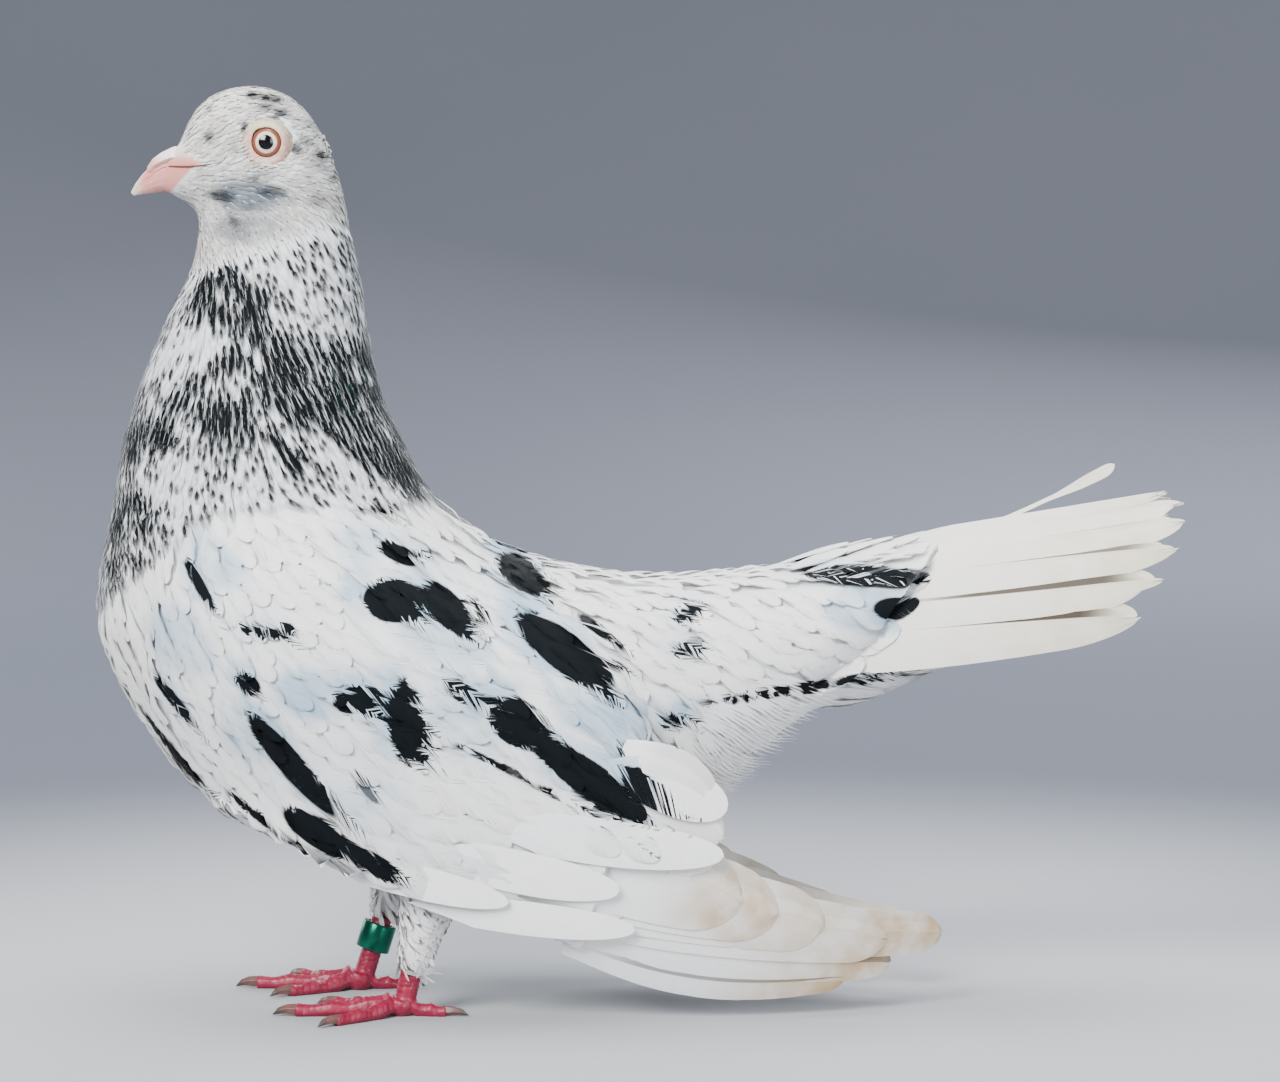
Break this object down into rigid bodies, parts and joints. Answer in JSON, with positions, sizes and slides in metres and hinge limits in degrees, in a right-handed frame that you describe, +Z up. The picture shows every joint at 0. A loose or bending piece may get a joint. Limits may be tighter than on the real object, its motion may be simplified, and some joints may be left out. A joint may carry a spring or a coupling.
{
  "type": "standing domestic pigeon model",
  "caption": "Life-size still model of a standing white fancy pigeon with grizzled neck, raised tail, drooping wings, red feet and a plain leg ring.",
  "frame": {"origin": "on the floor under the centre of the bird's bounding box", "axes": "+Z up, the bird faces -X and its left side is -Y"},
  "size_m": [0.2904, 0.1032, 0.2451],
  "materials": {
    "plumage_head": "short pale grey feathers with faint bluish flecks",
    "plumage_neck": "white and black streaked hackles with a green and violet sheen",
    "plumage_body": "soft white feathers",
    "plumage_wing": "white feathers with black patches on pale blue-grey bases",
    "flight_feathers": "smooth cream-white vanes with shafts",
    "eye": "wet black pupil, pearl iris and orange-red rim",
    "bill": "pink horn, paler at the tip",
    "cere": "powdery pinkish white skin",
    "foot_skin": "crimson scaled skin",
    "claw": "dark horn, paler at the tip",
    "leg_ring": "plain green anodised band"
  },
  "bodies": {
    "root": {"head": "plumage_head", "eye_left": "eye", "eye_right": "eye", "bill_upper": "bill", "bill_lower": "bill", "cere": "cere", "neck": "plumage_neck", "trunk": "plumage_body", "rump": "plumage_body", "undertail": "plumage_body", "tail": "flight_feathers", "wing_left": "plumage_wing", "wing_right": "plumage_wing", "secondaries_left": "flight_feathers", "secondaries_right": "flight_feathers", "primaries_left": "flight_feathers", "primaries_right": "flight_feathers", "thigh_left": "plumage_body", "thigh_right": "plumage_body", "shank_left": "foot_skin", "shank_right": "foot_skin", "foot_left": "foot_skin", "foot_right": "foot_skin", "claw_left_inner": "claw", "claw_left_middle": "claw", "claw_left_outer": "claw", "claw_left_hind": "claw", "claw_right_inner": "claw", "claw_right_middle": "claw", "claw_right_outer": "claw", "claw_right_hind": "claw", "leg_ring": "leg_ring"}
  },
  "joints": []
}
